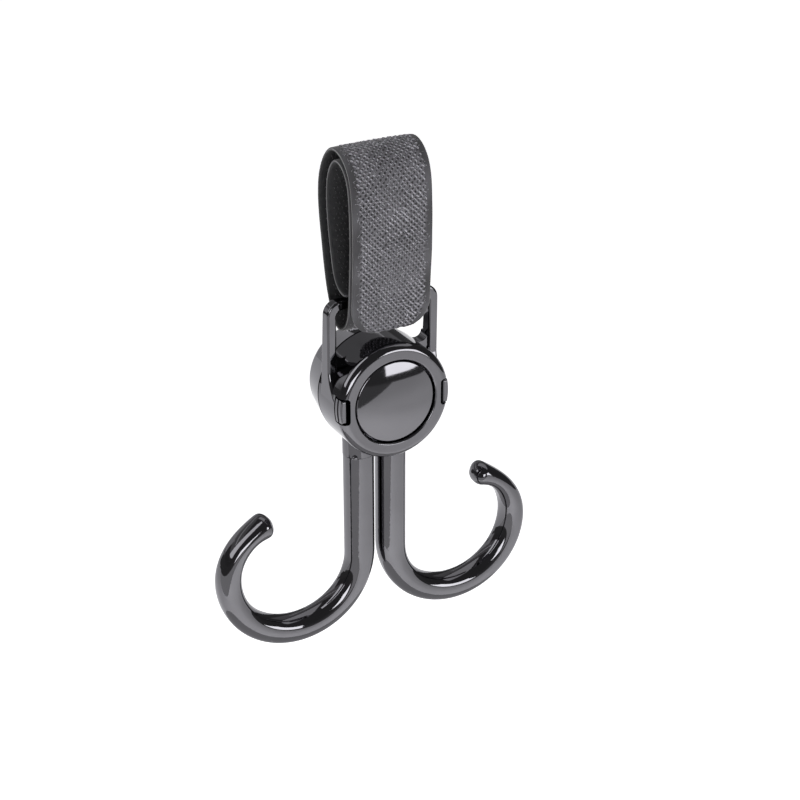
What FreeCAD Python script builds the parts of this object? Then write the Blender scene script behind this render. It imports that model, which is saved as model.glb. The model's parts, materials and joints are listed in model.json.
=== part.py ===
"""Double J-hook hanger on a hook-and-loop strap.

The strap loops over a bar or a desk edge and carries a stirrup-shaped bail. The bail is one piece with a
round hub. Two J-shaped hooks swivel in sockets under the hub, and a brake behind the big front button
holds them where they are turned; pressing the button frees them.

Millimetres. +X to the right, +Y to the back, +Z up. The origin is the centre of the bar that the strap
goes round. Parts are drawn in the hub's frame, whose origin is on the hub's axis in the plane of the
hooks, and place() moves them to the row's frame.
"""
import FreeCAD
import Part
import math
import os

Vector = FreeCAD.Vector

# Hub frame, seen from the centre of the bar in the strap
HUB_Y = 3.4
HUB_Z = -64.0

# Strap: a loop tape and a hook tape bonded back to back, wound twice round the bar
STRAP_WIDTH = 25.0
TAPE = 0.7
FLAP_CORNER_R = 8.0
FLAP_CUT_BACK = 2.2
STRAP_SAMPLES = 110
# outer face of the tape in the (Y, Z) plane, from the free end up, over, down and round the crossbar, and
# then the second turn inside the first, to the end that lies on the crossbar
STRAP_ROUTE = [
    (-11.3, 21.3), (-11.9, 32.4), (-12.9, 45.4), (-12.7, 60.0), (-9.6, 70.4), (-0.5, 74.6), (7.9, 67.5),
    (10.0, 57.0), (8.6, 46.5), (6.6, 36.0), (3.4, 26.6), (-2.4, 20.7), (-7.4, 23.0), (-9.7, 28.5),
    (-10.4, 34.5), (-11.2, 45.4), (-11.0, 60.0), (-8.2, 68.9), (-2.2, 71.6), (2.7, 67.3), (4.4, 57.5),
    (3.3, 47.8), (1.6, 40.2), (-0.5, 34.9), (-3.4, 32.7), (-7.0, 32.3),
]

# Drum, bezel and rear cover, all round the hub's Y axis
DRUM_R = 18.0
DRUM_FRONT = -12.0
SEAM_Y = 0.4
SEAM_GROOVE = 0.9
SEAM_GROOVE_R = 16.4
WALL = 2.0
BULKHEAD_FRONT = -6.4
BULKHEAD_BACK = -4.8
BEZEL_FACE = -14.5
BEZEL_EDGE_R = 2.3
BEZEL_BORE_R = 13.1
BEZEL_BORE_FILLET = 0.5
BEZEL_SKIRT_R = 15.8
BEZEL_SKIRT_BACK = -9.4
SKIRT_GAP = 0.1
COVER_R = 18.0
COVER_BACK_R = 15.2
COVER_BACK = 14.2
COVER_EDGE_R = 4.0
COVER_WALL = 1.8
SPIGOT_RING_R = 15.7
SPIGOT_RING_WALL = 1.2
SPIGOT_RING_FRONT = -1.2
SPIGOT_RING_ROOT = 2.0

# Snap lugs of the drum in the windows of the bezel, at 3 and 9 o'clock
LUG_HALF_H = 3.6
LUG_INNER_X = 15.75
LUG_R = 17.75
LUG_FRONT = -14.1
LUG_BACK = -10.9
LUG_FILLET = 0.6
LUG_GROOVE_DEPTH = 1.0
WINDOW_GAP = 0.5
WINDOW_INNER_X = 14.8
WINDOW_BACK = -10.2
WINDOW_CORNER_R = 1.0

# Bail
BAIL_OUTER_X = 17.95
BAIL_INNER_X = 15.0
BAIL_TOP = 31.2
BAIL_CORNER_R = 4.2
BAIL_WINDOW_R = 2.0
CROSSBAR_H = 2.8
BAIL_FRONT_LOW = -6.4
BAIL_FRONT_TOP = -6.8
BAIL_BACK_LOW = -0.9
BAIL_BACK_TOP = -3.3
BAIL_EDGE_R = 0.7
BAIL_ROOT_R = 2.2
WEB_RISE = 1.0
WEB_HEIGHT = 10.4

# Sockets, hooks and their spigots
ARM_X = 5.4
NECK_R = 4.85
NECK_BOTTOM = -21.2
SOCKET_TOP = -11.4
BOSS_R = 4.9
BOSS_HEADROOM = 2.4
BUSH_R = 3.9
SPIGOT_R = 3.05
RUNNING_GAP = 0.05
SPIGOT_TOP = -5.4
GROOVE_BOTTOM = -10.3
CLIP_T = 0.7
WASHER_T = 0.6
GROOVE_R = 2.3
SHOULDER_GAP = 0.25
END_PLAY = 0.1
CLIP_PLAY = 0.02
WASHER_RIM = 0.6
CLIP_RIM = 1.2
CLIP_MOUTH_HALF = 1.7
ARM_DEPTH = 9.0
BEND_START = -54.9
BEND_RX = 21.92
BEND_RZ = 21.48
TIP_RX = 18.3
TIP_RZ = 17.62
TIP_ANGLE = 69.0
TIP_DOME = 3.0
TIP_RINGS = 5
TIP_RING_STEP = 16.0
SQUARENESS = 2.4
# in-plane thickness of the hook along its bend: (angle from the arm in degrees, thickness)
THICKNESS = [(0, 9.1), (45, 8.5), (90, 8.7), (135, 8.3), (180, 7.6), (215, 6.3), (234, 6.0), (249, 7.4)]
STATION_STEP = 2.5
SECTION_POINTS = 24
PIP_R = 0.9
PIP_RISE = 0.25
PIP_ANGLE = 38.0

# Button, its spring and the brake
BUTTON_R = 12.65
BUTTON_RIM = -13.9
BUTTON_CROWN = -15.3
CAP_T = 1.2
CAP_FILLET = 0.4
CAP_SKIRT = -12.0
PLUNGER_R = 11.6
PLUNGER_BACK = -10.6
STEM_R = 2.6
STEM_BACK = 3.6
STEM_GUIDE_R = 4.4
STEM_GUIDE_BACK = -1.6
SPRING_MEAN_R = 4.4
SPRING_WIRE = 0.7
SPRING_TURNS = 3.5
SPRING_STEPS_PER_TURN = 16
SPRING_SECTION_POINTS = 8
SPRING_SEAT_GAP = 0.02
BRAKE_FRONT = 3.6
BRAKE_BACK = 5.6
BRAKE_HALF_W = 9.6
BRAKE_BOTTOM = -9.4
BRAKE_TOP = 4.6
BRAKE_CORNER_R = 1.2
BRAKE_POST_GAP = 1.4
SADDLE_DEPTH = 2.2
SADDLE_HALF_W = 3.4
SADDLE_GAP = 0.15
BRAKE_SCREW_R = 1.0
BRAKE_SCREW_HEAD_R = 2.0
BRAKE_SCREW_HEAD = 1.3
BRAKE_SCREW_LENGTH = 6.0

# Screws of the rear cover
COVER_SCREW_RING = 11.8
COVER_SCREW_ANGLES = [0, 90, 180]
POST_R = 2.5
POST_GAP = 0.2
PILOT_FLOOR = 0.6
TOWER_WALL = 0.6
SCREW_CLEARANCE = 0.2
SCREW_R = 1.1
SCREW_HEAD_R = 2.1
SCREW_HEAD = 1.4
SCREW_SINK = 1.0
SCREW_LENGTH = 15.0
HEAD_CHAMFER = 0.25
HEX_AF = 1.5
HEX_DEPTH = 0.8

BACK = Vector(0, 1, 0)
UP = Vector(0, 0, 1)
# SPAN is longer than any part, SLACK is how far a cut runs past what it cuts, and LAP is how deep joined
# shapes reach into each other
SPAN = 60.0
SLACK = 1.0
LAP = 0.5
NEAR = 0.02
WELD = 0.001


def place(name, shape):
    """Move a shape from the hub's frame to the row's frame and write it."""
    moved = shape.copy()
    moved.translate(Vector(0, HUB_Y, HUB_Z))
    moved.exportStep("parts/" + name + ".step")


def disc(radius, y_start, y_end, x=0.0, z=0.0):
    """A cylinder along Y."""
    return Part.makeCylinder(radius, y_end - y_start, Vector(x, y_start, z), BACK)


def post(radius, z_start, z_end, x=0.0, y=0.0):
    """A cylinder along Z."""
    return Part.makeCylinder(radius, z_end - z_start, Vector(x, y, z_start), UP)


def block(x0, x1, y0, y1, z0, z1):
    return Part.makeBox(x1 - x0, y1 - y0, z1 - z0, Vector(x0, y0, z0))


def mirrored(shape):
    """The same part on the other side of the plane X = 0."""
    return shape.mirror(Vector(0, 0, 0), Vector(1, 0, 0))


def circular_edges(shape, y, radius):
    """Edges of a part turned round Y that lie at a given Y and radius."""
    found = []
    for edge in shape.Edges:
        box = edge.BoundBox
        on_plane = abs(box.YMin - y) < NEAR and abs(box.YMax - y) < NEAR
        if on_plane and abs(box.XMax - radius) < NEAR and abs(box.ZMax - radius) < NEAR:
            found.append(edge)
    return found


def skin(sections):
    """A solid whose side is one smooth surface guided by closed rings of control points."""
    around = len(sections[0])
    along = len(sections)
    poles = [[section[index] for section in sections] for index in range(around)]
    surface = Part.BSplineSurface()
    surface.buildFromPolesMultsKnots(
        poles,
        [1] * (around + 1),
        [4] + [1] * (along - 4) + [4],
        list(range(around + 1)),
        list(range(along - 2)),
        True,
        False,
        3,
        3,
    )
    side = surface.toShape()
    caps = [Part.Face(Part.Wire([edge])) for edge in side.Edges if edge.isClosed()]
    shell = Part.makeShell([side] + caps)
    shell.sewShape()
    solid = Part.Solid(shell)
    solid.fix(WELD, WELD, WELD)
    return solid


# ---------------------------------------------------------------- strap

def strap_curve():
    spline = Part.BSplineCurve()
    spline.interpolate([Vector(0, y, z) for y, z in STRAP_ROUTE])
    return spline


def offset_line(curve, depth):
    """The curve moved towards the inside of the loop by a depth, as a spline."""
    points = []
    for step in range(STRAP_SAMPLES + 1):
        at = curve.FirstParameter + (curve.LastParameter - curve.FirstParameter) * step / STRAP_SAMPLES
        tangent = curve.tangent(at)[0]
        inward = Vector(0, tangent.z, -tangent.y)
        points.append(curve.value(at) + inward * depth)
    line = Part.BSplineCurve()
    line.interpolate(points)
    return line


def tape(depth_outer, depth_inner):
    """One layer of the strap, between two depths below its outer face."""
    curve = strap_curve()
    outer = offset_line(curve, depth_outer)
    inner = offset_line(curve, depth_inner)
    ends = [
        Part.makeLine(outer.EndPoint, inner.EndPoint),
        Part.makeLine(inner.StartPoint, outer.StartPoint),
    ]
    wire = Part.Wire([outer.toShape(), ends[0], inner.toShape(), ends[1]])
    band = Part.Face(wire).extrude(Vector(STRAP_WIDTH, 0, 0))
    band.translate(Vector(-STRAP_WIDTH / 2, 0, 0))
    return band.cut(flap_corners())


def flap_corners():
    """What is cut away to round the two corners of the strap's free end."""
    end_y, end_z = STRAP_ROUTE[0]
    inner_x = STRAP_WIDTH / 2 - FLAP_CORNER_R
    front = end_y - SLACK
    back = end_y + FLAP_CUT_BACK
    top = end_z + FLAP_CORNER_R
    corner = block(inner_x, STRAP_WIDTH / 2 + SLACK, front, back, end_z - SLACK, top)
    corner = corner.cut(disc(FLAP_CORNER_R, front, back, inner_x, top))
    return corner.fuse(mirrored(corner))


# ---------------------------------------------------------------- hub

def bail():
    """The stirrup: two legs that lean forward and thin towards the top, and the crossbar between them."""
    outline = block(-BAIL_OUTER_X, BAIL_OUTER_X, -SPAN, SPAN, 0, BAIL_TOP)
    corners = [e for e in outline.Edges if e.Length > SPAN and e.BoundBox.ZMin > BAIL_TOP - SLACK]
    outline = outline.makeFillet(BAIL_CORNER_R, corners)
    opening = block(-BAIL_INNER_X, BAIL_INNER_X, -SPAN, SPAN, -SLACK, BAIL_TOP - CROSSBAR_H)
    opening_corners = [e for e in opening.Edges if e.Length > SPAN and e.BoundBox.ZMin > 0]
    opening = opening.makeFillet(BAIL_WINDOW_R, opening_corners)
    side = Part.makePolygon([
        Vector(-SPAN, BAIL_FRONT_LOW, 0),
        Vector(-SPAN, BAIL_BACK_LOW, 0),
        Vector(-SPAN, BAIL_BACK_TOP, BAIL_TOP),
        Vector(-SPAN, BAIL_FRONT_TOP, BAIL_TOP),
        Vector(-SPAN, BAIL_FRONT_LOW, 0),
    ])
    slab = Part.Face(side).extrude(Vector(2 * SPAN, 0, 0))
    frame = outline.cut(opening).common(slab)
    rounded = []
    for edge in frame.Edges:
        middle = edge.valueAt((edge.FirstParameter + edge.LastParameter) / 2)
        height = middle.z / BAIL_TOP
        front_y = BAIL_FRONT_LOW + (BAIL_FRONT_TOP - BAIL_FRONT_LOW) * height
        back_y = BAIL_BACK_LOW + (BAIL_BACK_TOP - BAIL_BACK_LOW) * height
        on_face = min(abs(middle.y - front_y), abs(middle.y - back_y)) < NEAR
        if on_face and middle.z > SLACK:
            rounded.append(edge)
    return frame.makeFillet(BAIL_EDGE_R, rounded)


def bail_root():
    """Fillet between a leg's inner face and the drum, as a wedge less a cylinder."""
    centre_x = BAIL_INNER_X - BAIL_ROOT_R
    centre_z = math.sqrt((DRUM_R + BAIL_ROOT_R) ** 2 - centre_x ** 2)
    touch = DRUM_R / (DRUM_R + BAIL_ROOT_R)
    front = BAIL_FRONT_LOW + BAIL_EDGE_R
    back = BAIL_BACK_LOW - BAIL_EDGE_R
    wedge = Part.makePolygon([
        Vector(centre_x * touch, front, centre_z * touch),
        Vector(centre_x, front, centre_z),
        Vector(BAIL_INNER_X + SLACK, front, centre_z),
        Vector(BAIL_INNER_X + SLACK, front, centre_z / 2),
        Vector(centre_x * touch, front, centre_z * touch),
    ])
    solid = Part.Face(wedge).extrude(Vector(0, back - front, 0))
    return solid.cut(disc(BAIL_ROOT_R, front - SLACK, back + SLACK, centre_x, centre_z))


def bail_web():
    """Hollow slope from the front of the right leg down to the drum's front edge."""
    depth = BAIL_FRONT_LOW - DRUM_FRONT
    radius = (depth ** 2 + WEB_HEIGHT ** 2) / (2 * depth)
    top = WEB_RISE + WEB_HEIGHT
    web = block(BAIL_INNER_X, BAIL_OUTER_X, DRUM_FRONT, BAIL_FRONT_LOW + BAIL_EDGE_R, 0, top)
    web = web.cut(Part.makeCylinder(radius, SPAN, Vector(0, BAIL_FRONT_LOW - radius, top), Vector(1, 0, 0)))
    rounded = []
    for edge in web.Edges:
        box = edge.BoundBox
        if box.XMin > BAIL_OUTER_X - NEAR and box.YLength > LAP and box.ZLength > depth:
            rounded.append(edge)
    return web.makeFillet(BAIL_EDGE_R, rounded)


def cover_screw_places():
    """(X, Z) of the screws that hold the rear cover: right, top and left, clear of the sockets."""
    places = []
    for degrees in COVER_SCREW_ANGLES:
        angle = math.radians(degrees)
        places.append((COVER_SCREW_RING * math.cos(angle), COVER_SCREW_RING * math.sin(angle)))
    return places


def snap_lug():
    """One lug of the drum, in the window of the bezel at 3 o'clock."""
    lug = block(LUG_INNER_X, LUG_R + SLACK, LUG_FRONT, LUG_BACK, -LUG_HALF_H, LUG_HALF_H)
    lug = lug.common(disc(LUG_R, LUG_FRONT - SLACK, LUG_BACK + SLACK))
    front_edges = [e for e in lug.Edges if abs(e.BoundBox.YMax - LUG_FRONT) < NEAR]
    return lug.makeFillet(LUG_FILLET, front_edges)


def window():
    """The clear space round a snap lug."""
    half = LUG_HALF_H + WINDOW_GAP
    space = block(WINDOW_INNER_X, DRUM_R + SLACK, BEZEL_FACE - SLACK, WINDOW_BACK, -half, half)
    edges = [e for e in space.Edges if e.BoundBox.YLength > SLACK]
    return space.makeFillet(WINDOW_CORNER_R, edges)


def lug_groove():
    """What is cut from the drum beside and behind a snap lug."""
    beside = window().cut(block(0, SPAN, -SPAN, SPAN, -LUG_HALF_H, LUG_HALF_H))
    behind = window().common(block(LUG_R - LUG_GROOVE_DEPTH, SPAN, LUG_BACK, SPAN, -SPAN, SPAN))
    return beside.fuse(behind)


def neck_pip(side):
    """Half-round index mark on the lower edge of a socket's neck."""
    angle = math.radians(PIP_ANGLE)
    x = side * (ARM_X + NECK_R * math.sin(angle))
    pip = Part.makeSphere(PIP_R, Vector(x, -NECK_R * math.cos(angle), NECK_BOTTOM + PIP_RISE))
    return pip.common(block(-SPAN, SPAN, -SPAN, SPAN, NECK_BOTTOM, 0))


def main_body():
    body = disc(DRUM_R, DRUM_FRONT, SEAM_Y)
    body = body.cut(disc(DRUM_R - WALL, DRUM_FRONT - SLACK, BULKHEAD_FRONT))
    body = body.cut(disc(DRUM_R - WALL, BULKHEAD_BACK, SEAM_Y + SLACK))
    for side in (1, -1):
        x = side * ARM_X
        body = body.fuse(post(NECK_R, NECK_BOTTOM, WALL - DRUM_R, x))
        body = body.fuse(post(BOSS_R, WALL / 2 - DRUM_R, SOCKET_TOP, x))
    body = body.fuse(disc(STEM_GUIDE_R, BULKHEAD_FRONT, STEM_GUIDE_BACK))
    for x, z in cover_screw_places():
        body = body.fuse(disc(POST_R, BULKHEAD_BACK, SEAM_Y - POST_GAP, x, z))
    frame = bail().cut(disc(DRUM_R - LAP, -SPAN, SPAN))
    body = body.fuse(frame)
    root = bail_root()
    body = body.fuse(root).fuse(mirrored(root))
    web = bail_web().cut(disc(DRUM_R - LAP, -SPAN, SPAN))
    body = body.fuse(web).fuse(mirrored(web))
    for side in (1, -1):
        body = body.fuse(neck_pip(side))
        body = body.cut(post(BUSH_R, NECK_BOTTOM - SLACK, SOCKET_TOP + SLACK, side * ARM_X))
    body = body.cut(disc(STEM_R + RUNNING_GAP, -SPAN, SPAN))
    for x, z in cover_screw_places():
        body = body.cut(disc(SCREW_R, BULKHEAD_BACK + PILOT_FLOOR, SPAN, x, z))
    lug = snap_lug()
    body = body.fuse(lug).fuse(mirrored(lug))
    groove = lug_groove()
    return body.cut(groove).cut(mirrored(groove)).removeSplitter()


def bezel_ring():
    ring = disc(DRUM_R, BEZEL_FACE, DRUM_FRONT)
    ring = ring.makeFillet(BEZEL_EDGE_R, circular_edges(ring, BEZEL_FACE, DRUM_R))
    skirt = disc(BEZEL_SKIRT_R, DRUM_FRONT, BEZEL_SKIRT_BACK)
    ring = ring.fuse(skirt).cut(disc(BEZEL_BORE_R, -SPAN, SPAN))
    ring = ring.makeFillet(BEZEL_BORE_FILLET, circular_edges(ring, BEZEL_FACE, BEZEL_BORE_R))
    space = window()
    return ring.cut(space).cut(mirrored(space)).removeSplitter()


def dome(inset, edge_r):
    """The rear cover's outer shape, or its hollow at a given inset: a cone with a rounded back edge."""
    back = COVER_BACK - inset
    back_r = COVER_BACK_R - inset
    shape = Part.makeCone(COVER_R - inset, back_r, back - SEAM_Y, Vector(0, SEAM_Y, 0), BACK)
    return shape.makeFillet(edge_r, circular_edges(shape, back, back_r))


def rear_cover():
    cover = dome(0, COVER_EDGE_R)
    cover = cover.cut(dome(COVER_WALL, COVER_EDGE_R - COVER_WALL))
    groove = disc(COVER_R + SLACK, SEAM_Y, SEAM_Y + SEAM_GROOVE)
    cover = cover.cut(groove.cut(disc(SEAM_GROOVE_R, -SPAN, SPAN)))
    ring = disc(SPIGOT_RING_R, SPIGOT_RING_FRONT, SEAM_Y + LAP)
    ring = ring.fuse(disc(SEAM_GROOVE_R, SEAM_Y, SEAM_Y + SPIGOT_RING_ROOT))
    ring = ring.cut(disc(SPIGOT_RING_R - SPIGOT_RING_WALL, -SPAN, SPAN))
    cover = cover.fuse(ring)
    for x, z in cover_screw_places():
        cover = cover.fuse(disc(POST_R + TOWER_WALL, SEAM_Y, COVER_BACK - COVER_WALL + LAP, x, z))
    head_seat = COVER_BACK - SCREW_SINK - SCREW_HEAD
    for x, z in cover_screw_places():
        cover = cover.cut(disc(SCREW_HEAD_R + SCREW_CLEARANCE, head_seat, SPAN, x, z))
        cover = cover.cut(disc(SCREW_R + SCREW_CLEARANCE, -SPAN, SPAN, x, z))
    for side in (1, -1):
        cover = cover.cut(post(BOSS_R + SKIRT_GAP, -SPAN, SOCKET_TOP + BOSS_HEADROOM, side * ARM_X))
    return cover.removeSplitter()


def hexagon(across_flats, depth, centre):
    radius = across_flats / math.sqrt(3)
    corners = []
    for index in range(7):
        angle = math.radians(60 * index)
        corners.append(centre + Vector(radius * math.cos(angle), 0, radius * math.sin(angle)))
    return Part.Face(Part.makePolygon(corners)).extrude(Vector(0, depth, 0))


def screw(x, z, head_back, head, head_r, shank_r, length, socket):
    """A socket-head screw along Y whose head faces the back."""
    body = disc(head_r, head_back - head, head_back, x, z)
    rim = [e for e in body.Edges if abs(e.BoundBox.YMin - head_back) < NEAR and e.BoundBox.XLength > head_r]
    body = body.makeChamfer(HEAD_CHAMFER, rim)
    body = body.fuse(disc(shank_r, head_back - head - length, head_back - head + LAP, x, z))
    return body.cut(hexagon(socket, HEX_DEPTH + SLACK, Vector(x, head_back - HEX_DEPTH, z)))


def cover_screws():
    screws = []
    for x, z in cover_screw_places():
        head_back = COVER_BACK - SCREW_SINK
        screws.append(screw(x, z, head_back, SCREW_HEAD, SCREW_HEAD_R, SCREW_R, SCREW_LENGTH, HEX_AF))
    return Part.makeCompound(screws)


def socket_bush(side):
    x = side * ARM_X
    outer = post(BUSH_R, NECK_BOTTOM, SOCKET_TOP, x)
    return outer.cut(post(SPIGOT_R + RUNNING_GAP, NECK_BOTTOM - SLACK, SOCKET_TOP + SLACK, x))


# ---------------------------------------------------------------- button and brake

def button_cap():
    """Plated cap: a shallow dome with a short skirt."""
    rise = BUTTON_RIM - BUTTON_CROWN
    dome_r = (BUTTON_R ** 2 + rise ** 2) / (2 * rise)
    cap = disc(BUTTON_R, BUTTON_CROWN - SLACK, CAP_SKIRT)
    cap = cap.common(Part.makeSphere(dome_r, Vector(0, BUTTON_CROWN + dome_r, 0)))
    cap = cap.cut(disc(PLUNGER_R, BUTTON_RIM + CAP_T, CAP_SKIRT + SLACK))
    return cap.makeFillet(CAP_FILLET, circular_edges(cap, BUTTON_RIM, BUTTON_R))


def plunger():
    """What the cap sits on: a disc with the stem that reaches back through the bulkhead."""
    front = BUTTON_RIM + CAP_T
    body = disc(PLUNGER_R, front, PLUNGER_BACK)
    body = body.fuse(disc(STEM_R, PLUNGER_BACK - LAP, STEM_BACK))
    return body.cut(disc(BRAKE_SCREW_R, STEM_BACK - BRAKE_SCREW_LENGTH, STEM_BACK + SLACK))


def button_spring():
    """Compression spring round the stem guide, between the bulkhead and the plunger."""
    start = PLUNGER_BACK + SPRING_WIRE / 2 + SPRING_SEAT_GAP
    end = BULKHEAD_FRONT - SPRING_WIRE / 2 - SPRING_SEAT_GAP
    steps = round(SPRING_TURNS * SPRING_STEPS_PER_TURN)
    swell = 3 / (2 + math.cos(2 * math.pi / SPRING_SECTION_POINTS))
    rings = []
    for step in range(steps + 1):
        around = 2 * math.pi * SPRING_TURNS * step / steps
        outward = Vector(math.cos(around), 0, math.sin(around))
        centre = outward * SPRING_MEAN_R + Vector(0, start + (end - start) * step / steps, 0)
        ring = []
        for index in range(SPRING_SECTION_POINTS):
            angle = 2 * math.pi * index / SPRING_SECTION_POINTS
            reach = SPRING_WIRE / 2 * swell
            ring.append(centre + outward * (reach * math.cos(angle)) + BACK * (reach * math.sin(angle)))
        rings.append(ring)
    return skin(rings)


def brake_plate():
    """A plate on the stem's end with two saddles that bear on the backs of the hook spigots."""
    plate = block(-BRAKE_HALF_W, BRAKE_HALF_W, BRAKE_FRONT, BRAKE_BACK, BRAKE_BOTTOM, BRAKE_TOP)
    edges = [e for e in plate.Edges if e.BoundBox.YLength > SLACK]
    plate = plate.makeFillet(BRAKE_CORNER_R, edges)
    saddle_front = BRAKE_FRONT - SADDLE_DEPTH
    for side in (1, -1):
        left = side * ARM_X - SADDLE_HALF_W
        right = side * ARM_X + SADDLE_HALF_W
        plate = plate.fuse(block(left, right, saddle_front, BRAKE_FRONT + LAP, BRAKE_BOTTOM, SPIGOT_TOP))
    for side in (1, -1):
        plate = plate.cut(post(SPIGOT_R + SADDLE_GAP, BRAKE_BOTTOM - SLACK, SPIGOT_TOP + SLACK, side * ARM_X))
    plate = plate.cut(disc(BRAKE_SCREW_R + RUNNING_GAP, -SPAN, SPAN))
    for x, z in cover_screw_places():
        plate = plate.cut(disc(POST_R + BRAKE_POST_GAP, -SPAN, SPAN, x, z))
    return plate.removeSplitter()


def brake_screw():
    return screw(0, 0, BRAKE_BACK + BRAKE_SCREW_HEAD, BRAKE_SCREW_HEAD, BRAKE_SCREW_HEAD_R, BRAKE_SCREW_R,
                 BRAKE_SCREW_LENGTH + BRAKE_BACK - BRAKE_FRONT, HEX_AF)


# ---------------------------------------------------------------- hooks

def thickness_curve():
    """Smooth curve through the thicknesses, with the angle as X and the thickness as Y."""
    curve = Part.BSplineCurve()
    curve.interpolate([Vector(angle, thickness, 0) for angle, thickness in THICKNESS])
    return curve


def thickness_at(curve, turned):
    """In-plane thickness after the bend has turned by an angle."""
    nearest = curve.parameter(Vector(turned, THICKNESS[0][1], 0))
    return curve.value(nearest).y


def hook_section(centre, tangent, thickness, share=1.0):
    """Control points of a rounded square across the hook's centre line, which lies in the plane Y = 0."""
    across = Vector(-tangent.z, 0, tangent.x)
    swell = 3 / (2 + math.cos(2 * math.pi / SECTION_POINTS))
    points = []
    for index in range(SECTION_POINTS):
        angle = 2 * math.pi * index / SECTION_POINTS
        c = math.cos(angle)
        s = math.sin(angle)
        u = math.copysign(abs(c) ** (2 / SQUARENESS), c) * thickness / 2
        w = math.copysign(abs(s) ** (2 / SQUARENESS), s) * ARM_DEPTH / 2
        points.append(centre + across * (u * swell * share) + Vector(0, w * swell * share, 0))
    return points


def hook_stations():
    """Centres, directions and thicknesses along the right-hand hook, from its shoulder to its tip."""
    curve = thickness_curve()
    top = NECK_BOTTOM - SHOULDER_GAP
    arm_steps = round((top - BEND_START) / STATION_STEP)
    stations = []
    for index in range(arm_steps):
        z = top + (BEND_START - top) * index / arm_steps
        stations.append((Vector(ARM_X, 0, z), Vector(0, 0, -1), THICKNESS[0][1]))
    total = 180 + TIP_ANGLE
    bend_steps = round(math.radians(total) * BEND_RX / STATION_STEP)
    for index in range(bend_steps + 1):
        turned = total * index / bend_steps
        angle = math.radians(180 + turned)
        past_side = turned > 180
        rx, rz = (TIP_RX, TIP_RZ) if past_side else (BEND_RX, BEND_RZ)
        centre_x = ARM_X + 2 * BEND_RX - TIP_RX if past_side else ARM_X + BEND_RX
        centre = Vector(centre_x + rx * math.cos(angle), 0, BEND_START + rz * math.sin(angle))
        tangent = Vector(-rx * math.sin(angle), 0, rz * math.cos(angle))
        tangent.normalize()
        stations.append((centre, tangent, thickness_at(curve, turned)))
    return stations


def hook():
    """The right-hand hook with its spigot."""
    stations = hook_stations()
    sections = [hook_section(*station) for station in stations]
    end, direction, thickness = stations[-1]
    for index in range(TIP_RINGS):
        angle = math.radians(TIP_RING_STEP * (index + 1))
        ahead = direction * (TIP_DOME * math.sin(angle))
        sections.append(hook_section(end + ahead, direction, thickness, math.cos(angle)))
    body = skin(sections)
    body = body.fuse(post(SPIGOT_R, NECK_BOTTOM - STATION_STEP, SPIGOT_TOP, ARM_X))
    groove = post(SPIGOT_R + SLACK, GROOVE_BOTTOM, GROOVE_BOTTOM + CLIP_T, ARM_X)
    return body.cut(groove.cut(post(GROOVE_R, -SPAN, SPAN, ARM_X)))


def retaining_washer():
    base = SOCKET_TOP + END_PLAY
    washer = post(BUSH_R + WASHER_RIM, base, base + WASHER_T, ARM_X)
    return washer.cut(post(SPIGOT_R + RUNNING_GAP, -SPAN, SPAN, ARM_X))


def retaining_clip():
    """E-clip in the spigot's groove, open to the side."""
    base = GROOVE_BOTTOM + CLIP_PLAY
    top = GROOVE_BOTTOM + CLIP_T - CLIP_PLAY
    clip = post(SPIGOT_R + CLIP_RIM, base, top, ARM_X)
    clip = clip.cut(post(GROOVE_R + CLIP_PLAY, -SPAN, SPAN, ARM_X))
    mouth = block(ARM_X - CLIP_MOUTH_HALF, ARM_X + CLIP_MOUTH_HALF, -SPAN, 0, base - SLACK, top + SLACK)
    return clip.cut(mouth)


def build():
    os.makedirs("parts", exist_ok=True)
    place("loop_tape", tape(0.0, TAPE))
    place("hook_tape", tape(TAPE, 2 * TAPE))
    place("main_body", main_body())
    place("bezel_ring", bezel_ring())
    place("rear_cover", rear_cover())
    place("cover_screws", cover_screws())
    place("left_socket_bush", socket_bush(-1))
    place("right_socket_bush", socket_bush(1))
    place("button_cap", button_cap())
    place("button_plunger", plunger())
    place("button_spring", button_spring())
    place("brake_plate", brake_plate())
    place("brake_screw", brake_screw())
    right_hook = hook()
    for side, turn in (("right", lambda shape: shape), ("left", mirrored)):
        place(side + "_hook", turn(right_hook))
        place(side + "_washer", turn(retaining_washer()))
        place(side + "_retaining_clip", turn(retaining_clip()))


build()
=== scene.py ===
import json
import math

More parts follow.
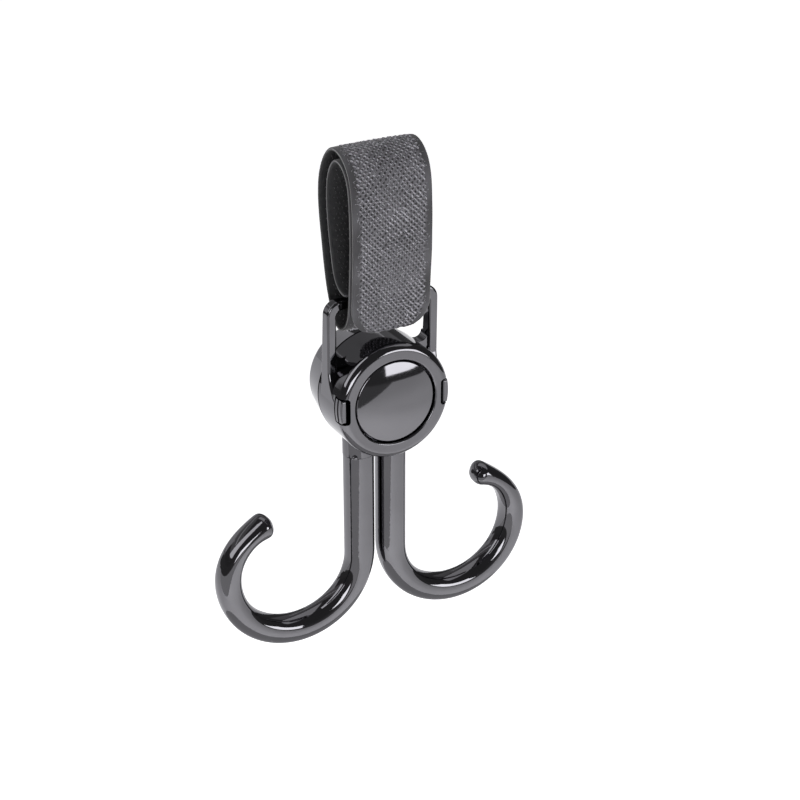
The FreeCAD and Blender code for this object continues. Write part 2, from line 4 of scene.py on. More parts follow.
import bpy
import numpy as np
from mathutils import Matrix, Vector


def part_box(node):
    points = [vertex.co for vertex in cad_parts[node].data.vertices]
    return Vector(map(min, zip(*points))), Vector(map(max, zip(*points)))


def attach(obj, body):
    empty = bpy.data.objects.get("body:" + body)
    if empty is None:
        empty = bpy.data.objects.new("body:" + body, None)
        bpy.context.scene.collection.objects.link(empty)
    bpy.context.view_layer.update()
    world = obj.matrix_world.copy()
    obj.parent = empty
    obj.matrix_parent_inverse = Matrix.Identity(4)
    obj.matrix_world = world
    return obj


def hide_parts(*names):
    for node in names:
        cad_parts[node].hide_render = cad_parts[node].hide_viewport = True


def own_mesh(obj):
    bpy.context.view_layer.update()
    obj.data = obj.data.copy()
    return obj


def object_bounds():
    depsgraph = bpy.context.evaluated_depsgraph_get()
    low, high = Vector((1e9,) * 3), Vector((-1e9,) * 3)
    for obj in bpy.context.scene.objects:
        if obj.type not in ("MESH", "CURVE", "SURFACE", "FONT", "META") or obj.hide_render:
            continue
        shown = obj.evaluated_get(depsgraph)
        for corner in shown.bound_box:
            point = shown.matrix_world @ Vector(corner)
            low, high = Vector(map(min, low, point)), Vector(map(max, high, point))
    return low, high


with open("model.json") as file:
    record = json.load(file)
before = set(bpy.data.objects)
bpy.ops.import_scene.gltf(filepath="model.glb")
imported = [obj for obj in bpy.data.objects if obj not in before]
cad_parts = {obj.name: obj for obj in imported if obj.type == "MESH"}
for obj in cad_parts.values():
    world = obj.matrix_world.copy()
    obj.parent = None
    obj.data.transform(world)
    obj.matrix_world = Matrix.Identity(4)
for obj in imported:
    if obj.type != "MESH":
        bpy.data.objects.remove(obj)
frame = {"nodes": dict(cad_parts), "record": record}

cad_low, cad_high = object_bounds()
rng = np.random.default_rng(7)

MM = 0.001

# Strap, as in the CAD model: outer face in the (Y, Z) plane, in mm, seen from the hub's axis
HUB_Y = 3.4
HUB_Z = -64.0
STRAP_ROUTE = [
    (-11.3, 21.3), (-11.9, 32.4), (-12.9, 45.4), (-12.7, 60.0), (-9.6, 70.4), (-0.5, 74.6), (7.9, 67.5),
    (10.0, 57.0), (8.6, 46.5), (6.6, 36.0), (3.4, 26.6), (-2.4, 20.7), (-7.4, 23.0), (-9.7, 28.5),
    (-10.4, 34.5), (-11.2, 45.4), (-11.0, 60.0), (-8.2, 68.9), (-2.2, 71.6), (2.7, 67.3), (4.4, 57.5),
    (3.3, 47.8), (1.6, 40.2), (-0.5, 34.9), (-3.4, 32.7), (-7.0, 32.3),
]
TAPE = 0.7 * MM
FLAP_CORNER_R = 8.0 * MM
FLAP_LENGTH = 30 * MM
SELVAGE = 1.9 * MM
SELVAGE_SHADE = 0.32
# the free end's raggedness and how far back it reaches, and how much of the inner end lies on the crossbar
FREE_END_RAGGED = 0.35 * MM
FRAYED_LENGTH = 2 * MM
PRESSED_END = 10 * MM
# the loop's far corner is pulled up and forward, and the free end waves a little
CORNER_LIFT = 0.9 * MM
CORNER_PULL = 1.0 * MM
LIFTED_FROM = 0.6
FLAP_WAVE = 0.22 * MM
WAVE_COUNT = 5

# Knit of the loop tape: staggered pinholes with yarn loops that slant between them, and loose pile
KNIT_ACROSS = 1.65 * MM
KNIT_ALONG = 1.75 * MM
CELLS_PER_PITCH = 6
HOLE_DEPTH = 0.30 * MM
HOLE_THRESHOLD = 0.32
GROUND_DEPTH = 0.12 * MM
KNIT_DIP = 0.05 * MM
SELVAGE_RIB = 0.02 * MM
SELVAGE_RIB_PITCH = 0.58 * MM
SELVAGE_BLEND = 0.6 * MM
EDGE_R = 0.35 * MM
EDGE_DROP = 0.15 * MM
WANDER = 0.32 * MM
WANDER_LENGTH = 26 * MM
YARN_LENGTH = 0.95 * MM
YARN_RISE = 0.24 * MM
YARN_R = 0.21 * MM
YARN_SLANT = math.radians(42)
YARN_ROOT = 0.1 * MM
YARN_SCATTER = 0.10 * MM
MISSING_YARNS = 0.07
PILE_LENGTH = 1.1 * MM
PILE_R = 0.035 * MM
PILE_FIBRES = 4000
PILE_ROOT = 0.14 * MM
PILE_RISE = 0.26 * MM

# Hooks of the hook tape
HOOK_ACROSS = 1.25 * MM
HOOK_ALONG = 1.6 * MM
HOOK_BASE = 0.32 * MM
HOOK_HEIGHT = 0.5 * MM
HOOK_CURL_R = 0.17 * MM
HOOK_CURL = math.radians(200)
HOOK_STEM = 0.4
HOOK_R = 0.09 * MM
HOOK_MARGIN = 1.6 * MM


# ---------------------------------------------------------------- materials

# where the knit's mesh keeps how dark its ground is: painted shade in the pinholes and a darker tone on the
# selvages
SHADE_ATTRIBUTE = "hole"


def new_material(name):
    """A material with a node tree that holds only its shader, and that shader."""
    material = bpy.data.materials.new(name)
    material.use_nodes = True
    shader = material.node_tree.nodes["Principled BSDF"]
    return material, shader


def node(material, kind, **settings):
    """A new node of a kind in a material's tree."""
    made = material.node_tree.nodes.new(kind)
    for key, value in settings.items():
        setattr(made, key, value)
    return made


def link(material, source, target):
    material.node_tree.links.new(source, target)


def noise(material, scale, detail=2.0, roughness=0.5):
    """Noise over the surface, with features of about 1/scale metres."""
    place = node(material, "ShaderNodeTexCoord")
    texture = node(material, "ShaderNodeTexNoise")
    texture.inputs["Scale"].default_value = scale
    texture.inputs["Detail"].default_value = detail
    texture.inputs["Roughness"].default_value = roughness
    link(material, place.outputs["Object"], texture.inputs["Vector"])
    return texture.outputs["Fac"]


def ramp(material, source, stops):
    """A colour picked by a value, from stops of (value, colour)."""
    made = node(material, "ShaderNodeValToRGB")
    elements = made.color_ramp.elements
    while len(elements) < len(stops):
        elements.new(0.5)
    for element, (position, colour) in zip(elements, stops):
        element.position = position
        element.color = (*colour, 1.0)
    link(material, source, made.inputs["Fac"])
    return made.outputs["Color"]


def span(material, source, low, high):
    """A value from 0 to 1 spread over a range."""
    made = node(material, "ShaderNodeMapRange")
    made.inputs["To Min"].default_value = low
    made.inputs["To Max"].default_value = high
    link(material, source, made.inputs["Value"])
    return made.outputs["Result"]


def bump(material, shader, source, strength, distance):
    """Fine relief of the surface, from a value."""
    made = node(material, "ShaderNodeBump")
    made.inputs["Strength"].default_value = strength
    made.inputs["Distance"].default_value = distance
    link(material, source, made.inputs["Height"])
    link(material, made.outputs["Normal"], shader.inputs["Normal"])


def gunmetal():
    """Dark mirror plating over moulded plastic, with the faint ripple and haze that plating has."""
    material, shader = new_material("gunmetal_plating")
    shader.inputs["Metallic"].default_value = 1.0
    tone = ramp(material, noise(material, 60.0),
                [(0.3, (0.121, 0.119, 0.128)), (0.7, (0.137, 0.135, 0.145))])
    link(material, tone, shader.inputs["Base Color"])
    shader.inputs["Specular Tint"].default_value = (0.85, 0.85, 0.87, 1.0)
    link(material, span(material, noise(material, 220.0, 3.0), 0.04, 0.08), shader.inputs["Roughness"])
    bump(material, shader, noise(material, 140.0, 1.0), 0.012, 0.0004)
    return material


def steel():
    """Zinc-plated steel with the uneven sheen of barrel plating."""
    material, shader = new_material("zinc_plated_steel")
    shader.inputs["Metallic"].default_value = 1.0
    tone = ramp(material, noise(material, 300.0), [(0.3, (0.42, 0.42, 0.43)), (0.7, (0.6, 0.6, 0.61))])
    link(material, tone, shader.inputs["Base Color"])
    link(material, span(material, noise(material, 1500.0, 3.0), 0.22, 0.42), shader.inputs["Roughness"])
    return material


def inner_plastic():
    """Matt black moulding of the pieces inside."""
    material, shader = new_material("matt_moulding")
    tone = ramp(material, noise(material, 400.0),
                [(0.3, (0.02, 0.02, 0.022)), (0.7, (0.035, 0.035, 0.037))])
    link(material, tone, shader.inputs["Base Color"])
    link(material, span(material, noise(material, 2500.0), 0.45, 0.6), shader.inputs["Roughness"])
    bump(material, shader, noise(material, 4000.0), 0.15, 0.00005)
    return material


def knit():
    """Ground of the loop tape: nylon knit, with painted shade in its pinholes."""
    material, shader = new_material("loop_tape_knit")
    shade = node(material, "ShaderNodeAttribute", attribute_name=SHADE_ATTRIBUTE)
    # painted shade: the knit's ground goes nearly black towards the middle of each pinhole
    tone = ramp(material, shade.outputs["Fac"],
                [(0.0, (0.076, 0.074, 0.083)), (0.35, (0.026, 0.025, 0.028)), (0.8, (0.004, 0.004, 0.005))])
    blotch = span(material, noise(material, 140.0, 4.0, 0.65), 0.45, 1.45)
    mix = node(material, "ShaderNodeMix", data_type="RGBA", blend_type="MULTIPLY")
    mix.inputs["Factor"].default_value = 1.0
    link(material, tone, mix.inputs["A"])
    link(material, blotch, mix.inputs["B"])
    link(material, mix.outputs["Result"], shader.inputs["Base Color"])
    shader.inputs["Roughness"].default_value = 0.8
    shader.inputs["Sheen Weight"].default_value = 0.25
    shader.inputs["Sheen Roughness"].default_value = 0.4
    bump(material, shader, noise(material, 5000.0, 3.0), 0.5, 0.0001)
    return material


def yarn():
    """Napped yarn of the loop tape, in uneven greys."""
    material, shader = new_material("loop_tape_yarn")
    tone = ramp(material, noise(material, 450.0, 4.0, 0.6),
                [(0.35, (0.125, 0.122, 0.137)), (0.65, (0.29, 0.284, 0.315))])
    link(material, tone, shader.inputs["Base Color"])
    shader.inputs["Roughness"].default_value = 0.6
    shader.inputs["Sheen Weight"].default_value = 0.3
    return material


def hook_ground():
    """Woven ground of the hook tape, nearly black."""
    material, shader = new_material("hook_tape_ground")
    tone = ramp(material, noise(material, 900.0, 3.0),
                [(0.3, (0.006, 0.006, 0.007)), (0.7, (0.014, 0.014, 0.015))])
    link(material, tone, shader.inputs["Base Color"])
    shader.inputs["Roughness"].default_value = 0.75
    bump(material, shader, noise(material, 3500.0, 3.0), 0.6, 0.0001)
    return material


def hook_filament():
    """Cut monofilament of the hooks."""
    material, shader = new_material("hook_tape_filament")
    tone = ramp(material, noise(material, 800.0), [(0.3, (0.02, 0.02, 0.021)), (0.7, (0.05, 0.05, 0.053))])
    link(material, tone, shader.inputs["Base Color"])
    shader.inputs["Roughness"].default_value = 0.38
    return material


# ---------------------------------------------------------------- the strap's curve

POINTS_PER_SPAN = 80


def lengths_to(points):
    """Length of a chain of points up to each point."""
    return np.concatenate([[0.0], np.cumsum(np.linalg.norm(np.diff(points, axis=0), axis=1))])


def smooth_line(points):
    """Closely spaced points on the smooth cubic curve through some points, and the length up to each."""
    points = np.array(points, float)
    times = lengths_to(points)
    count = len(points)
    rows = np.zeros((count, count))
    right = np.zeros_like(points)
    for end, (a, b, c) in ((0, (0, 1, 2)), (count - 1, (count - 1, count - 2, count - 3))):
        near = (points[b] - points[a]) / (times[b] - times[a])
        far = (points[c] - points[b]) / (times[c] - times[b])
        rows[end, end] = 1.0
        right[end] = near - (far - near) * (times[b] - times[a]) / (times[c] - times[a])
    for i in range(1, count - 1):
        before = times[i] - times[i - 1]
        after = times[i + 1] - times[i]
        rows[i, i - 1:i + 2] = [after, 2 * (before + after), before]
        arriving = after * (points[i] - points[i - 1]) / before
        leaving = before * (points[i + 1] - points[i]) / after
        right[i] = 3 * (arriving + leaving)
    slopes = np.linalg.solve(rows, right)
    fine = []
    for i in range(count - 1):
        step = times[i + 1] - times[i]
        for t in np.linspace(0, 1, POINTS_PER_SPAN, endpoint=False):
            fine.append(
                (1 + 2 * t) * (1 - t) ** 2 * points[i]
                + t * (1 - t) ** 2 * step * slopes[i]
                + t * t * (3 - 2 * t) * points[i + 1]
                + t * t * (t - 1) * step * slopes[i + 1]
            )
    fine.append(points[-1])
    fine = np.array(fine)
    return fine, lengths_to(fine)


route = [((y + HUB_Y) * MM, (z + HUB_Z) * MM) for y, z in STRAP_ROUTE]
line, line_length = smooth_line(route)
STRAP_LENGTH = line_length[-1]
strap_low, strap_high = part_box("loop_tape")
STRAP_WIDTH = strap_high.x - strap_low.x
LOOP_SHOULDER = strap_low.z + LIFTED_FROM * (strap_high.z - strap_low.z)
WAVES = [(rng.uniform(0, math.pi), rng.uniform(0, 2 * math.pi)) for _ in range(WAVE_COUNT)]


def on_line(along):
    """(Y, Z) of the outer face at lengths along the strap."""
    return np.stack([np.interp(along, line_length, line[:, k]) for k in (0, 1)], -1)


def strap_frame(along):
    """(point on the outer face, direction out of it) at lengths along the strap."""
    along = np.clip(along, 0.0, STRAP_LENGTH)
    reach = 0.4 * MM
    tangent = on_line(along + reach) - on_line(along - reach)
    tangent /= np.linalg.norm(tangent, axis=-1, keepdims=True)
    outward = np.stack([-tangent[..., 1], tangent[..., 0]], -1)
    return on_line(along), outward


def on_strap(across, along, depth):
    """Points of the strap from the place across, the length along and the depth below its outer face."""
    place, outward = strap_frame(along)
    flap = np.clip(1 - along / FLAP_LENGTH, 0.0, 1.0)
    wave = FLAP_WAVE * flap * np.sin(2 * math.pi * across / STRAP_WIDTH + 0.8)
    flat = place - outward * (depth + wave)[..., None]
    top = np.clip((flat[..., 1] - LOOP_SHOULDER) / (strap_high.z - LOOP_SHOULDER), 0.0, 1.0) ** 2
    top = top * (0.5 + across / STRAP_WIDTH)
    return np.stack([across, flat[..., 0] - CORNER_PULL * top, flat[..., 1] + CORNER_LIFT * top], -1)


def half_width(along):
    """Half the strap's width at a length from its rounded free end."""
    short = np.clip(FLAP_CORNER_R - along, 0.0, FLAP_CORNER_R)
    return STRAP_WIDTH / 2 - (FLAP_CORNER_R - np.sqrt(FLAP_CORNER_R ** 2 - short ** 2))


# ---------------------------------------------------------------- meshes

def mesh_object(name, points, faces, material, smooth=True):
    """A new object in the scene, from points and faces."""
    mesh = bpy.data.meshes.new(name)
    mesh.from_pydata([tuple(p) for p in points], [], [tuple(f) for f in faces])
    mesh.polygons.foreach_set("use_smooth", [smooth] * len(mesh.polygons))
    mesh.materials.append(material)
    made = bpy.data.objects.new(name, mesh)
    bpy.context.scene.collection.objects.link(made)
    return made


def grid_faces(rows, columns, start=0, flip=False):
    """Quads over a grid of points that is stored row by row from a start index."""
    r, c = np.meshgrid(np.arange(rows - 1), np.arange(columns - 1), indexing="ij")
    a = (start + r * columns + c).ravel()
    quads = np.stack([a, a + 1, a + columns + 1, a + columns], -1)
    return quads[:, ::-1] if flip else quads


def band(name, columns, rows, outer_depth, inner_depth, material, shade=None):
    """A closed strip of tape. Its depths and its shade are functions of (across, along)."""
    along = np.linspace(0.0, STRAP_LENGTH, rows)
    side = np.linspace(-1.0, 1.0, columns)
    across = half_width(along)[:, None] * side[None, :]
    along = np.repeat(along[:, None], columns, 1)
    uneven = 1 + drift(across, np.zeros_like(along), 2.3 * MM)
    frayed = np.clip(1 - along / FRAYED_LENGTH, 0.0, 1.0) * uneven
    along = along + FREE_END_RAGGED * frayed
    top = on_strap(across, along, outer_depth(across, along))
    bottom = on_strap(across, along, inner_depth(across, along))
    count = rows * columns
    faces = [grid_faces(rows, columns), grid_faces(rows, columns, count, flip=True)]
    index = np.arange(count).reshape(rows, columns)
    rim = np.concatenate([index[0, :], index[1:, -1], index[-1, -2::-1], index[-2:0:-1, 0]])
    after = np.roll(rim, -1)
    faces.append(np.stack([after, rim, rim + count, after + count], -1))
    points = np.concatenate([top.reshape(-1, 3), bottom.reshape(-1, 3)])
    made = mesh_object(name, points, np.concatenate(faces), material)
    if shade:
        # the stored value is the knit's painted shade in its pinholes, with the selvages' darker tone
        values = np.concatenate([shade(across, along).ravel(), np.zeros(count)])
        stored = made.data.attributes.new(SHADE_ATTRIBUTE, "FLOAT", "POINT")
        stored.data.foreach_set("value", values.astype(np.float32))
    return made


def tubes(name, centres, radii, sides, material):
    """Many round threads as one mesh. centres is (threads, stations, 3), radii (threads, stations)."""
    threads, stations, _ = centres.shape
    tangent = np.gradient(centres, axis=1)
    tangent /= np.linalg.norm(tangent, axis=-1, keepdims=True)
    lateral = np.cross(tangent, np.array([0.31, 0.87, 0.38]))
    lateral /= np.linalg.norm(lateral, axis=-1, keepdims=True)
    other = np.cross(tangent, lateral)
    angle = 2 * math.pi * np.arange(sides) / sides
    ring = (
        lateral[:, :, None, :] * np.cos(angle)[:, None]
        + other[:, :, None, :] * np.sin(angle)[:, None]
    )
    points = (centres[:, :, None, :] + ring * radii[:, :, None, None]).reshape(-1, 3)
    s, k = np.meshgrid(np.arange(stations - 1), np.arange(sides), indexing="ij")
    here = s * sides + k
    beside = s * sides + (k + 1) % sides
    wall = np.stack([here, beside, beside + sides, here + sides], -1).reshape(-1, 4)
    caps = np.array([np.arange(sides)[::-1], (stations - 1) * sides + np.arange(sides)])
    offsets = (np.arange(threads) * stations * sides)[:, None, None]
    faces = [tuple(f) for f in (wall[None] + offsets).reshape(-1, 4)]
    faces += [tuple(f) for f in (caps[None] + offsets).reshape(-1, sides)]
    return mesh_object(name, points, faces, material)


# ---------------------------------------------------------------- strap

def drift(across, along, length):
    """Smooth wandering between -1 and 1 over the strap, from a few crossing waves."""
    total = np.zeros_like(across)
    for angle, phase in WAVES:
        total += np.sin(2 * math.pi * (across * math.cos(angle) + along * math.sin(angle)) / length + phase)
    return total / len(WAVES)


def off_selvage(across, along, blend):
    """0 on the selvages and 1 between them, with a soft step."""
    return np.clip((half_width(along) - SELVAGE - np.abs(across)) / blend, 0.0, 1.0)


def pinhole(across, along):
    """1 in the middle of a pinhole of the knit and 0 away from it or on the selvages; it sets both the
    pinholes' depth and their painted shade.
    """
    u = across + WANDER * drift(across, along, WANDER_LENGTH)
    v = along + WANDER * drift(along, across, WANDER_LENGTH)
    wave = np.cos(2 * math.pi * u / KNIT_ACROSS) * np.cos(2 * math.pi * v / KNIT_ALONG)
    wave = wave + 0.22 * drift(across, along, 3.1 * MM) + 0.2 * drift(across, along, 17 * MM)
    return np.clip((wave - HOLE_THRESHOLD) / 0.5, 0.0, 1.0) * off_selvage(across, along, 0.5 * MM)


def knit_depth(across, along):
    """Depth of the knit's face: its pinholes, the ribs of its selvages and its rounded edges."""
    inside = off_selvage(across, along, SELVAGE_BLEND)
    edge = np.clip((half_width(along) - np.abs(across)) / EDGE_R, 0.0, 1.0)
    ribs = SELVAGE_RIB * np.cos(2 * math.pi * along / SELVAGE_RIB_PITCH) * (1 - inside)
    sag = KNIT_DIP * drift(across, along, 9 * MM)
    ground = GROUND_DEPTH - KNIT_DIP * inside + ribs + sag
    return ground + HOLE_DEPTH * pinhole(across, along) + EDGE_DROP * (1 - edge) ** 2


def knit_shade(across, along):
    """How dark the ground is: painted shade, most in the pinholes, and a little darker tone on the
    selvages.
    """
    inside = off_selvage(across, along, SELVAGE_BLEND)
    uneven = 1 + 0.6 * drift(across, along, 13 * MM)
    return pinhole(across, along) + SELVAGE_SHADE * (1 - inside) * uneven


def flat_depth(depth):
    """The same depth all over, in the form that band() takes."""
    return lambda across, along: np.full_like(across, depth)


def loop_tape():
    """The outer tape's knit, one mesh cell to a sixth of a pinhole's pitch."""
    columns = round(STRAP_WIDTH / KNIT_ACROSS * CELLS_PER_PITCH) + 1
    rows = round(STRAP_LENGTH / KNIT_ALONG * CELLS_PER_PITCH) + 1
    return band("loop_tape_knit", columns, rows, knit_depth, flat_depth(TAPE), knit(), knit_shade)


def yarn_loops():
    """Knuckles of yarn that arch between the pinholes, slanting down to the right, in uneven strength."""
    rows = int(STRAP_LENGTH / (KNIT_ALONG / 2))
    columns = int(STRAP_WIDTH / KNIT_ACROSS) + 2
    r, c = np.meshgrid(np.arange(rows), np.arange(-columns // 2, columns // 2 + 1), indexing="ij")
    along = ((r + 0.5) * KNIT_ALONG / 2).ravel()
    across = ((c + 0.5 * (r % 2) + 0.25) * KNIT_ACROSS).ravel()
    u = across - WANDER * drift(across, along, WANDER_LENGTH)
    v = along - WANDER * drift(along, across, WANDER_LENGTH)
    keep = (np.abs(u) < half_width(v) - SELVAGE - 0.3 * MM) & (v < STRAP_LENGTH - PRESSED_END)
    keep &= (v > 0.9 * MM) & (rng.random(len(v)) > MISSING_YARNS)
    along = v[keep]
    across = u[keep]
    count = len(along)
    stations = 7
    t = np.linspace(-0.5, 0.5, stations)[None, :]
    slant = YARN_SLANT + rng.normal(0, 0.3, (count, 1))
    fullness = 0.85 + 0.4 * drift(across, along, 24 * MM)[:, None]
    length = YARN_LENGTH * rng.uniform(0.7, 1.1, (count, 1)) * fullness
    across = across[:, None] + rng.normal(0, YARN_SCATTER, (count, 1)) + length * t * np.cos(slant)
    along = along[:, None] + rng.normal(0, YARN_SCATTER, (count, 1)) - length * t * np.sin(slant)
    strength = 0.85 + 0.5 * drift(across[:, :1], along[:, :1], 21 * MM)
    rise = YARN_RISE * rng.uniform(0.5, 1.3, (count, 1)) * strength
    arch = np.cos(math.pi * t)
    depth = GROUND_DEPTH + YARN_ROOT - (rise + YARN_ROOT) * arch ** 0.7
    radii = YARN_R * (0.55 + 0.45 * arch) * rng.uniform(0.7, 1.15, (count, 1)) * strength
    return tubes("loop_tape_yarns", on_strap(across, along, depth), radii, 6, yarn())


def loose_pile():
    """Fine brushed fibres that lie every way over the knit."""
    along = rng.uniform(1.5 * MM, STRAP_LENGTH - PRESSED_END, PILE_FIBRES)
    across = rng.uniform(-1, 1, PILE_FIBRES) * (half_width(along) - 1.2 * MM)
    stations = 6
    t = np.linspace(-0.5, 0.5, stations)[None, :]
    way = rng.uniform(0, 2 * math.pi, (PILE_FIBRES, 1)) + 1.8 * t * rng.normal(0, 1, (PILE_FIBRES, 1))
    length = PILE_LENGTH * rng.uniform(0.5, 1.2, (PILE_FIBRES, 1))
    across = across[:, None] + length * t * np.cos(way)
    along = np.clip(along[:, None] + length * t * np.sin(way), 0.3 * MM, STRAP_LENGTH - 0.3 * MM)
    depth = PILE_ROOT - PILE_RISE * rng.uniform(0.3, 1.0, (PILE_FIBRES, 1)) * np.cos(math.pi * t)
    radii = np.full((PILE_FIBRES, stations), PILE_R) * rng.uniform(0.7, 1.2, (PILE_FIBRES, 1))
    return tubes("loop_tape_pile", on_strap(across, along, depth), radii, 3, yarn())


def hook_tape():
    """The inner tape's ground, against the back of the loop tape."""
    columns = 41
    rows = 420
    back = flat_depth(TAPE)
    face = flat_depth(TAPE + HOOK_BASE)
    return band("hook_tape_ground", columns, rows, back, face, hook_ground())


def tape_hooks():
    """Rows of cut monofilament hooks on the inner face."""
    rows = int(STRAP_LENGTH / HOOK_ALONG)
    columns = int(STRAP_WIDTH / HOOK_ACROSS) + 1
    r, c = np.meshgrid(np.arange(rows), np.arange(columns), indexing="ij")
    along = ((r + 0.5) * HOOK_ALONG).ravel()
    across = (c * HOOK_ACROSS).ravel() - STRAP_WIDTH / 2 + 0.5 * (r.ravel() % 2) * HOOK_ACROSS
    keep = np.abs(across) < half_width(along) - HOOK_MARGIN
    along = along[keep]
    across = across[keep]
    count = len(along)
    turn = np.linspace(0, 1, 7)[None, :]
    way = np.where(rng.random((count, 1)) < 0.5, 1.0, -1.0)
    lean = rng.normal(0, 0.12, (count, 1))
    high = HOOK_HEIGHT * rng.uniform(0.85, 1.1, (count, 1))
    bow = np.clip((turn - HOOK_STEM) / (1 - HOOK_STEM), 0, 1) * HOOK_CURL
    on_stem = turn < HOOK_STEM
    stem = high - HOOK_CURL_R
    up = np.where(on_stem, turn / HOOK_STEM * stem, stem + HOOK_CURL_R * np.sin(bow))
    out = np.where(on_stem, 0.0, HOOK_CURL_R * (1 - np.cos(bow)))
    across = across[:, None] + lean * up + rng.normal(0, 0.06 * MM, (count, 1))
    along = along[:, None] + way * out + rng.normal(0, 0.08 * MM, (count, 1))
    radii = np.full(along.shape, HOOK_R)
    centres = on_strap(across, along, TAPE + HOOK_BASE + up)
    return tubes("hook_tape_hooks", centres, radii, 4, hook_filament())


def strap():
    """Both tapes of the strap, with what stands on them."""
    loop_side = loop_tape()
    yarns = yarn_loops()
    pile = loose_pile()
    hook_side = hook_tape()
    hooks = tape_hooks()
    for slot, pieces in (("loop_fabric", (loop_side, yarns, pile)), ("hook_fabric", (hook_side, hooks))):
        for piece in pieces:
            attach(piece, "strap")
    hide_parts("loop_tape")
    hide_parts("hook_tape")


# ---------------------------------------------------------------- hard parts

def finish_hard_parts():
    """Gives each CAD node the finish of its material slot."""
    finishes = {"gunmetal": gunmetal(), "steel": steel(), "inner_plastic": inner_plastic()}
    slots = {part["node"]: part["material_slot"] for part in frame["record"]["subparts"]}
    for name, shown in frame["nodes"].items():
        if slots[name] in finishes:
            shown.data.materials.clear()
            shown.data.materials.append(finishes[slots[name]])


def spring():
    """The button's spring between the plunger and the bulkhead, as its own copy of the CAD mesh, which the
    hub carries.
    """
    source = frame["nodes"]["button_spring"]
    piece = bpy.data.objects.new("button_spring_coil", source.data.copy())
    bpy.context.scene.collection.objects.link(piece)
    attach(piece, "hub")
    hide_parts("button_spring")
    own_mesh(piece)


# ---------------------------------------------------------------- stage

MIDDLE = (cad_low + cad_high) / 2
FLOOR_BELOW = 0.35
FLOOR_HALF = 12.0
# reflections see the room's panels at about arm's length, and a white sheet of paper with a straight edge
CARD_DISTANCE = 0.8
PAPER_EDGE_AZIMUTH = -52
PAPER_EDGE_DISTANCE = 0.55
GROUND_REACH = 11.0
PATCH_LIFT = 0.01
# the camera sees the backdrop, where it looks past the floor
BACKDROP_DISTANCE = 6.0
KEY_DISTANCE = 0.9
WHITE = (1.0, 1.0, 1.0, 1.0)


def towards(azimuth, elevation):
    """Direction from the object: azimuth 0 is to the front and 90 to the right, elevation 90 is up."""
    a = math.radians(azimuth)
    e = math.radians(elevation)
    return Vector((math.sin(a) * math.cos(e), -math.cos(a) * math.cos(e), math.sin(e)))


def emission(name, strength):
    """A white glow."""
    material = bpy.data.materials.new(name)
    material.use_nodes = True
    tree = material.node_tree
    tree.nodes.clear()
    output = tree.nodes.new("ShaderNodeOutputMaterial")
    light = tree.nodes.new("ShaderNodeEmission")
    light.inputs["Color"].default_value = WHITE
    light.inputs["Strength"].default_value = strength
    tree.links.new(light.outputs["Emission"], output.inputs["Surface"])
    return material


def glowing(name, points, faces, brightness, lights_cloth):
    """A glowing surface that only reflections see, and the cloth's shading if it lights the cloth."""
    made = mesh_object(name, points, faces, emission(name + "_glow", brightness))
    made.visible_camera = False
    made.visible_shadow = False
    made.visible_diffuse = lights_cloth
    return made


def card(name, azimuths, elevations, distance, brightness, lights_cloth=True):
    """A curved light or dark panel over a range of azimuths and elevations round the object."""
    rows = 12
    columns = 24
    points = []
    for row in range(rows + 1):
        elevation = elevations[0] + (elevations[1] - elevations[0]) * row / rows
        for column in range(columns + 1):
            azimuth = azimuths[0] + (azimuths[1] - azimuths[0]) * column / columns
            points.append(MIDDLE + towards(azimuth, elevation) * distance)
    return glowing(name, points, grid_faces(rows + 1, columns + 1), brightness, lights_cloth)


def ground_patch(name, azimuths, floor_z, brightness):
    """What reflections see between two azimuths, beyond the straight edge of the floor's white paper."""
    points = []
    for azimuth in azimuths:
        facing = towards(azimuth, 0).dot(towards(PAPER_EDGE_AZIMUTH, 0))
        for reach in (PAPER_EDGE_DISTANCE / facing, GROUND_REACH):
            points.append(towards(azimuth, 0) * reach + Vector((0, 0, floor_z + PATCH_LIFT)))
    glowing(name, points, [(0, 1, 3, 2)], brightness, lights_cloth=False)


def floor():
    """The pale floor, which also gives off most of the brightness it shows."""
    z = cad_low.z - FLOOR_BELOW
    corners = [(-FLOOR_HALF, -FLOOR_HALF, z), (FLOOR_HALF, -FLOOR_HALF, z),
               (FLOOR_HALF, FLOOR_HALF, z), (-FLOOR_HALF, FLOOR_HALF, z)]
    material, shader = new_material("floor_white")
    shader.inputs["Base Color"].default_value = (0.85, 0.85, 0.85, 1.0)
    shader.inputs["Roughness"].default_value = 0.9
    shader.inputs["Specular IOR Level"].default_value = 0.0
    shader.inputs["Emission Color"].default_value = WHITE
    shader.inputs["Emission Strength"].default_value = 0.95
    mesh_object("floor", corners, [(0, 1, 2, 3)], material, smooth=False)
    ground_patch("dark_ground", (1, 32), z, 0.24)
    ground_patch("grey_ground", (-132, 1), z, 0.86)


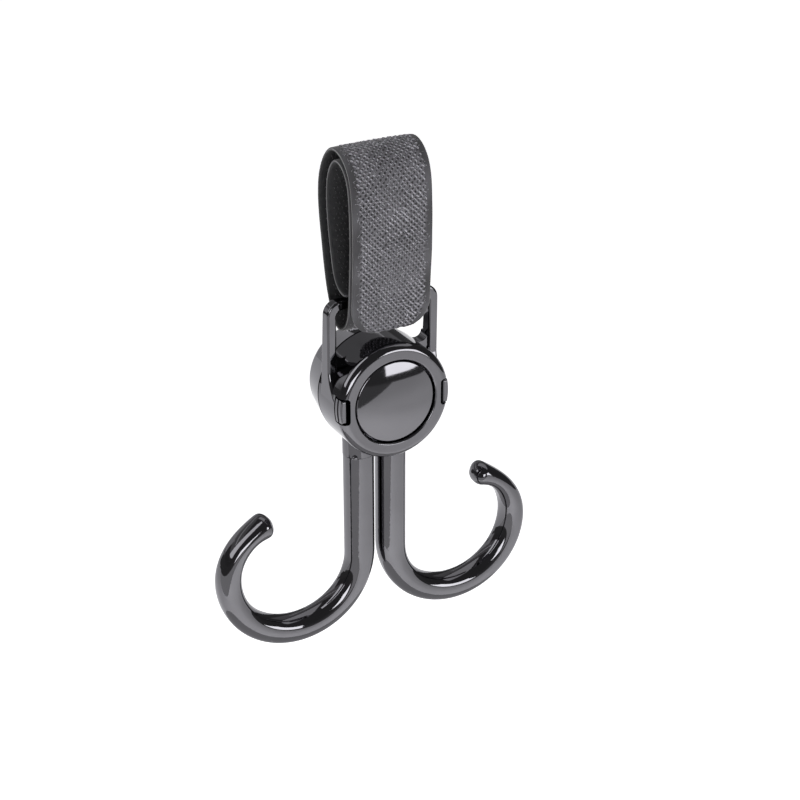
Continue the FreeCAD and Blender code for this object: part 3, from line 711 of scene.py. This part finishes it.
def surroundings():
    """The dim room and the bright panels that the plating reflects, and the white beyond the floor."""
    world = bpy.data.worlds.new("studio")
    bpy.context.scene.world = world
    world.use_nodes = True
    background = world.node_tree.nodes["Background"]
    background.inputs["Color"].default_value = WHITE
    background.inputs["Strength"].default_value = 0.1

    card("dark_wall", (-150, 100), (-10.8, 3), CARD_DISTANCE * 1.05, 0.12, lights_cloth=False)
    card("window_right", (18, 44), (-6.6, 12), CARD_DISTANCE, 6.0)
    card("window_left", (-34, -8), (-4.6, 12), CARD_DISTANCE, 6.0)
    card("light_left", (-118, -80), (15, 70), CARD_DISTANCE, 2.5)
    card("light_back", (120, 240), (14, 36), CARD_DISTANCE, 0.3)
    card("slit_back", (150, 235), (24, 26), CARD_DISTANCE * 0.98, 1.2, lights_cloth=False)
    card("light_rear", (168, 216), (-2, 16), CARD_DISTANCE * 0.97, 0.8, lights_cloth=False)
    card("light_top", (55, 205), (40, 87), CARD_DISTANCE, 1.0)
    card("ground_shade", (-180, 180), (-89, -52), CARD_DISTANCE / 2, 0.8, lights_cloth=False)

    backdrop = card("backdrop", (-180, 180), (-12, 90), BACKDROP_DISTANCE, 1.0, lights_cloth=False)
    backdrop.visible_camera = True
    backdrop.visible_glossy = False


def key_light():
    """The main light on the cloth, which the plating doesn't reflect."""
    key = bpy.data.lights.new("key", "AREA")
    key.energy = 7.0
    key.size = 0.5
    placed = bpy.data.objects.new("key", key)
    placed.location = MIDDLE + towards(-20, 12) * KEY_DISTANCE
    placed.rotation_euler = (MIDDLE - placed.location).to_track_quat("-Z", "Y").to_euler()
    placed.visible_glossy = False
    bpy.context.scene.collection.objects.link(placed)


CAMERA_PLACE = (-0.20608, -0.40524, 0.14202)
CAMERA_DOWN = math.radians(24.772)
CAMERA_RIGHT = math.radians(27.742)
CAMERA_LENS = 75.81
CAMERA_SENSOR = 36.0


def camera():
    """A camera above the front left, turned right and down to the object."""
    data = bpy.data.cameras.new("camera")
    data.lens = CAMERA_LENS
    data.sensor_width = CAMERA_SENSOR
    made = bpy.data.objects.new("camera", data)
    made.location = CAMERA_PLACE
    made.rotation_euler = (math.pi / 2 - CAMERA_DOWN, 0.0, -CAMERA_RIGHT)
    bpy.context.scene.collection.objects.link(made)
    bpy.context.scene.camera = made


camera()
strap()
finish_hard_parts()
spring()
floor()
surroundings()
key_light()
bpy.context.scene.view_settings.view_transform = "Standard"
